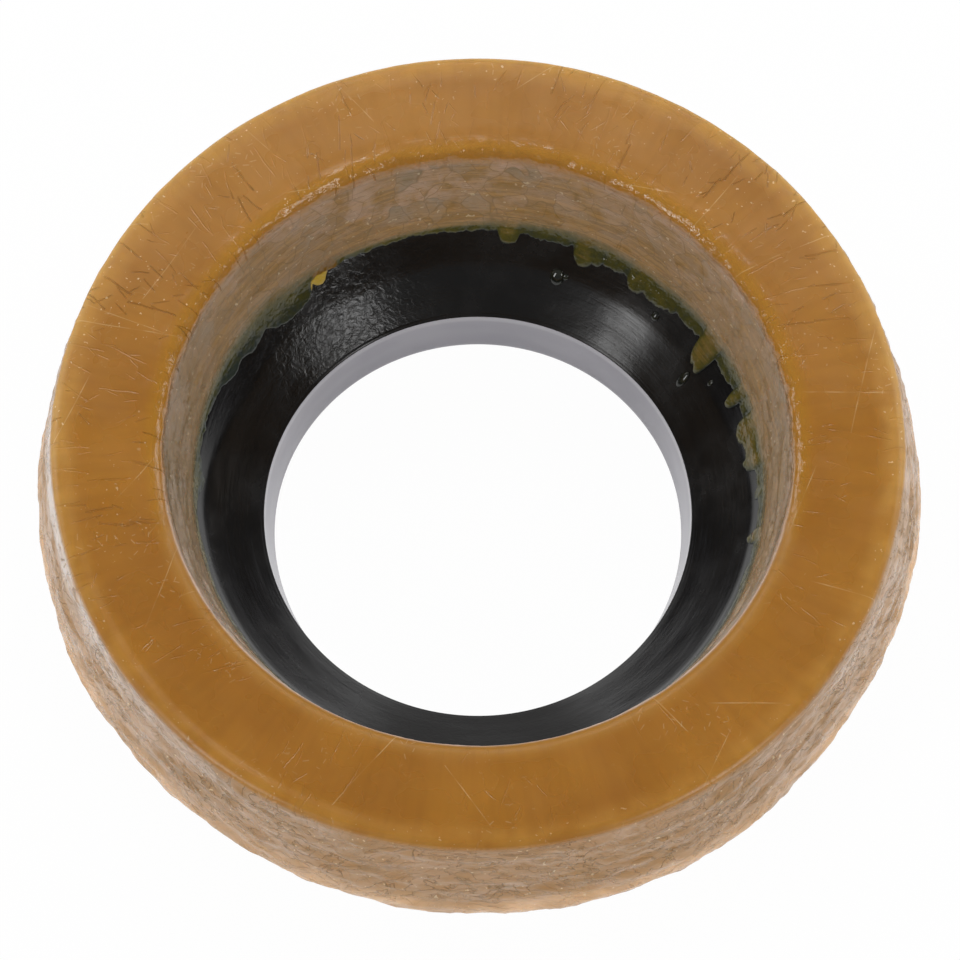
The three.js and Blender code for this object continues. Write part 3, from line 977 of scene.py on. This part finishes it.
def inner_look(tree, ring):
    """Colour and relief of the inner wall: tan wax with flakes of film, dark where it thins out, painted
    shade at the sides.
    """
    thickness = tree.attribute("thickness")
    film = tree.ring_noise(ring, 125.0, 180.0, 3.0, 0.6)
    streaks = tree.ring_noise(ring, 60.0, 1500.0, 3.0, 0.6, 0.6)
    high_up = tree.remap(thickness, 0.003, 0.010)
    kinds, flake_lines = flakes(tree, ring)
    worn = tree.remap(film, 0.40, 0.60, 0.25, 1.0)
    tan_area = tree.times(tree.remap(kinds, 0.43, 0.47), worn, tree.remap(high_up, 0.0, 1.0, 0.25, 0.9))
    grey_area = tree.times(tree.remap(kinds, 0.70, 0.74), worn, tree.remap(high_up, 0.0, 1.0, 0.15, 0.8))
    body = tree.mix(tree.remap(streaks, 0.42, 0.58, 0.45, 0.0), WAX_INNER, WAX_INNER_DARK)
    body = tree.mix(tree.times(tree.remap(film, 0.42, 0.58), high_up, 0.8), body, WAX_INNER_FILM)
    body = tree.mix(tan_area, body, WAX_INNER_FILM)
    body = tree.mix(grey_area, body, WAX_INNER_GREY)
    lines = tree.most(tree.times(flake_lines, 0.8), tree.border(streaks, 0.50, 0.02))
    body = tree.mix(tree.times(lines, 0.60), body, WAX_INNER_DARK)
    # Painted shade: the inner wall darkened on its left and right
    body = tree.mix(tree.times(tree.attribute("clear"), 0.7), body, WAX_INNER_DARK)
    # Painted glints: tiny pale specks in the colour
    glints = tree.remap(tree.noise(tree.place(), 1250.0, 1.0), 0.70, 0.74)
    body = tree.mix(tree.times(glints, 0.3), body, WAX_FLECK_AND_GLINT)
    thin = tree.remap(tree.plus(thickness, tree.times(streaks, 0.0008)), 0.0013, 0.0023, 1.0, 0.0)
    lumps = tree.noise(tree.place(), 620.0, 2.0, 0.6)
    mottled = tree.times(thickness, tree.remap(lumps, 0.36, 0.64, 0.75, 1.20))
    body = tree.mix(thin, body, thin_colour(tree, mottled))
    flake, scar = flake_marks(tree)
    body = tree.mix(tree.times(scar, 0.8), body, WAX_SCAR)
    body = tree.mix(flake, body, WAX_FLAKE)
    wet = tree.remap(thickness, 0.0010, 0.0022, 1.2, 0.15)
    wet = tree.times(wet, tree.remap(thickness, 0.0003, 0.0006, 0.15, 1.0))
    return body, tree.plus(tree.times(film, 1.6), tree.times(lumps, wet))


def thin_colour(tree, thickness):
    """The colour of thin wax, from THIN_WAX."""
    deepest = THIN_RANGE * MM
    ramp_node = tree.add("ShaderNodeValToRGB", {0: tree.remap(thickness, 0.0, deepest)})
    ramp = ramp_node.color_ramp
    while len(ramp.elements) < len(THIN_WAX):
        ramp.elements.new(1.0)
    for element, (depth, colour) in zip(ramp.elements, THIN_WAX):
        element.position = depth / THIN_RANGE
        element.color = colour
    return ramp_node.outputs[0]


def wax_roughness(tree, thickness):
    rough = tree.remap(tree.noise(tree.place(), 130.0, 2.0), 0.3, 0.7, 0.22, 0.34)
    wet = tree.most(tree.attribute("far_lip"), tree.remap(thickness, 0.0010, 0.0022, 1.0, 0.0))
    rough = tree.minus(rough, tree.times(wet, 0.2))
    rough = tree.plus(rough, tree.times(tree.attribute("soft_edge"), 0.25))
    return tree.most(rough, 0.07)


def wax_material(zones):
    """The wax with the looks of these zones of its skin, each laid over the one before it."""
    tree = material_tree("wax_" + "_".join(zones))
    looks = {"face": face_look, "outer": outer_look, "inner": inner_look}
    thickness = tree.attribute("thickness")
    ring = tree.ring_place(tree.attribute("along"), WAX_RING)
    body, height = looks[zones[0]](tree, ring)
    for zone in zones[1:]:
        colour, relief = looks[zone](tree, ring)
        here = tree.attribute(zone + "_wall")
        body = tree.mix(here, body, colour)
        height = tree.plus(height, tree.times(relief, here))
    tree.shade({
        "Base Color": body,
        "Subsurface Weight": tree.remap(thickness, 0.0012, 0.0030, 0.05, 0.3),
        "Subsurface Radius": (0.006, 0.0028, 0.0008),
        "Subsurface Scale": 1.0,
        "IOR": 1.46,
        "Specular IOR Level": 0.3 if zones == ("inner",) else 0.45,
        "Roughness": wax_roughness(tree, thickness),
        "Normal": tree.bumped(height, 0.8),
    })
    tree.nodes["Principled BSDF"].subsurface_method = "BURLEY"
    return tree.holder


def drop_material():
    tree = material_tree("wax_drop")
    clouds = tree.remap(tree.noise(tree.place(), 900.0, 2.0), 0.4, 0.6)
    tree.shade({
        "Base Color": tree.mix(clouds, *DROP_COLOURS),
        "Roughness": tree.remap(clouds, 0.0, 1.0, 0.06, 0.11),
        "IOR": 1.45,
    })
    return tree.holder


def horn_material():
    tree = material_tree("black_plastic")
    place = tree.place()
    ring = tree.ring_place(tree.attribute("along"), CONE_RING)
    streaks = tree.ring_noise(ring, 70.0, 1300.0, 4.0, 0.6)
    crinkles = tree.noise(place, 900.0, 3.0, 0.6, 0.8)
    smears = tree.noise(place, 110.0, 4.0, 0.6)
    rough = tree.remap(smears, 0.40, 0.62, 0.21, 0.28)
    edges = tree.add("ShaderNodeTexVoronoi", {"Vector": place, "Scale": 150.0}, feature="DISTANCE_TO_EDGE")
    film = tree.remap(edges.outputs["Distance"], 0.0, 0.05, 1.0, 0.0)
    film = tree.times(film, tree.remap(smears, 0.58, 0.66))
    relief = tree.plus(tree.times(streaks, 0.18), tree.times(crinkles, tree.attribute("crinkled")))
    relief = tree.plus(tree.times(film, 0.10), relief)
    tree.shade({
        "Base Color": tree.mix(tree.remap(smears, 0.50, 0.66), *PLASTIC_COLOURS),
        "Roughness": tree.plus(rough, tree.times(tree.attribute("dull"), 0.40)),
        "IOR": 1.40,
        "Normal": tree.bumped(tree.times(relief, tree.attribute("cone")), 0.5),
    })
    return tree.holder


def bore_material():
    """The drawn inside of the sleeve: black plastic with a painted grey reflection, paler in a band at its
    top.
    """
    tree = material_tree("sleeve_bore")
    level = tree.parts(tree.place())[2]
    clouds = tree.ring_noise(tree.ring_place(level, BORE_RING), 60.0, 160.0, 2.0)
    # Painted reflection: grey clouds where the black bore mirrors the white surroundings, and a paler band
    # at the top
    body = tree.mix(tree.remap(clouds, 0.35, 0.65), *BORE_PAINTED_REFLECTION)
    body = tree.mix(tree.remap(level, 0.0069, 0.0075), body, BORE_PAINTED_REFLECTION_BAND)
    tree.shade({"Base Color": body, "Roughness": 0.25, "IOR": 1.5})
    return tree.holder


# Stage, light and camera
FLOOR_SIZE = 60.0
FLOOR_WHITE = 0.975
FLOOR_COLOUR = (0.9, 0.9, 0.9, 1)
WORLD_STRENGTH = 0.30

# Camera: fitted to the ring edges in the photograph
CAMERA_AIM = (0.33, -5.98, 38.0)
CAMERA_DISTANCE = 1000.0
CAMERA_ELEVATION = math.radians(68.58)
CAMERA_LENS = 247.8
CAMERA_SENSOR = 36.0

# Lamps: name, bearing, elevation, distance, width and height in metres, and power in watts
LAMPS = [
    ("lamp_right", 25.0, 18.0, 1.2, 0.50, 0.50, 3.4),
    ("lamp_left", 155.0, 18.0, 1.2, 0.50, 0.50, 3.2),
    ("lamp_back", 90.0, 44.0, 0.85, 1.20, 0.14, 4.2),
    ("lamp_front_right", -42.0, 29.0, 1.8, 0.40, 0.95, 10.2),
    ("lamp_front_left", -142.0, 29.0, 1.8, 0.38, 0.95, 10.7),
]


def white_where_seen(tree, lit):
    """White for camera, glossy and transmitted rays, and the given shader for the rest."""
    rays = tree.add("ShaderNodeLightPath").outputs
    seen = tree.most(rays["Is Camera Ray"], rays["Is Glossy Ray"], rays["Is Transmission Ray"])
    white = tree.add("ShaderNodeEmission").outputs[0]
    mixed = tree.add("ShaderNodeMixShader", {0: tree.times(seen, FLOOR_WHITE), 1: lit, 2: white})
    return mixed.outputs[0]


def build_floor():
    bpy.ops.mesh.primitive_plane_add(size=FLOOR_SIZE)
    floor = bpy.context.object
    floor.name = "floor"
    tree = material_tree("floor")
    tree.nodes.clear()
    plain = tree.add("ShaderNodeBsdfDiffuse", {"Color": FLOOR_COLOUR}).outputs[0]
    tree.add("ShaderNodeOutputMaterial", {0: white_where_seen(tree, plain)})
    floor.data.materials.append(tree.holder)


def build_world():
    """Soft light from all round, the same for every kind of ray."""
    tree = Tree(bpy.data.worlds.new("studio"))
    tree.nodes.clear()
    soft = tree.add("ShaderNodeBackground", {"Color": (1, 1, 1, 1), "Strength": WORLD_STRENGTH})
    tree.add("ShaderNodeOutputWorld", {0: soft.outputs[0]})
    bpy.context.scene.world = tree.holder


def build_lamps():
    centre = Vector((0.0, 0.0, WAX_TOP * MM))
    for name, bearing, elevation, distance, width, height, power in LAMPS:
        turn, rise = math.radians(bearing), math.radians(elevation)
        away = Vector((math.cos(rise) * math.cos(turn), math.cos(rise) * math.sin(turn), math.sin(rise)))
        light = bpy.data.lights.new(name, "AREA")
        light.shape = "RECTANGLE"
        light.size = width
        light.size_y = height
        light.energy = power
        lamp = placed(name, light)
        lamp.location = centre + away * distance
        lamp.rotation_euler = away.to_track_quat("Z", "Y").to_euler()


def build_camera():
    camera = bpy.data.cameras.new("camera")
    camera.sensor_width = CAMERA_SENSOR
    camera.lens = CAMERA_LENS
    holder = placed("camera", camera)
    back = Vector((0.0, -math.cos(CAMERA_ELEVATION), math.sin(CAMERA_ELEVATION)))
    holder.location = Vector(CAMERA_AIM) * MM + back * CAMERA_DISTANCE * MM
    holder.rotation_euler = (math.pi / 2 - CAMERA_ELEVATION, 0.0, 0.0)
    bpy.context.scene.camera = holder


build_camera()
wax = build_wax()
for zones in WAX_ZONES:
    wax.data.materials.append(wax_material(zones))
drops = build_drops()
drops.data.materials.append(drop_material())
horn = build_horn()
horn.data.materials.append(horn_material())
horn.data.materials.append(bore_material())
build_floor()
build_world()
build_lamps()
bpy.context.scene.view_settings.view_transform = "Standard"
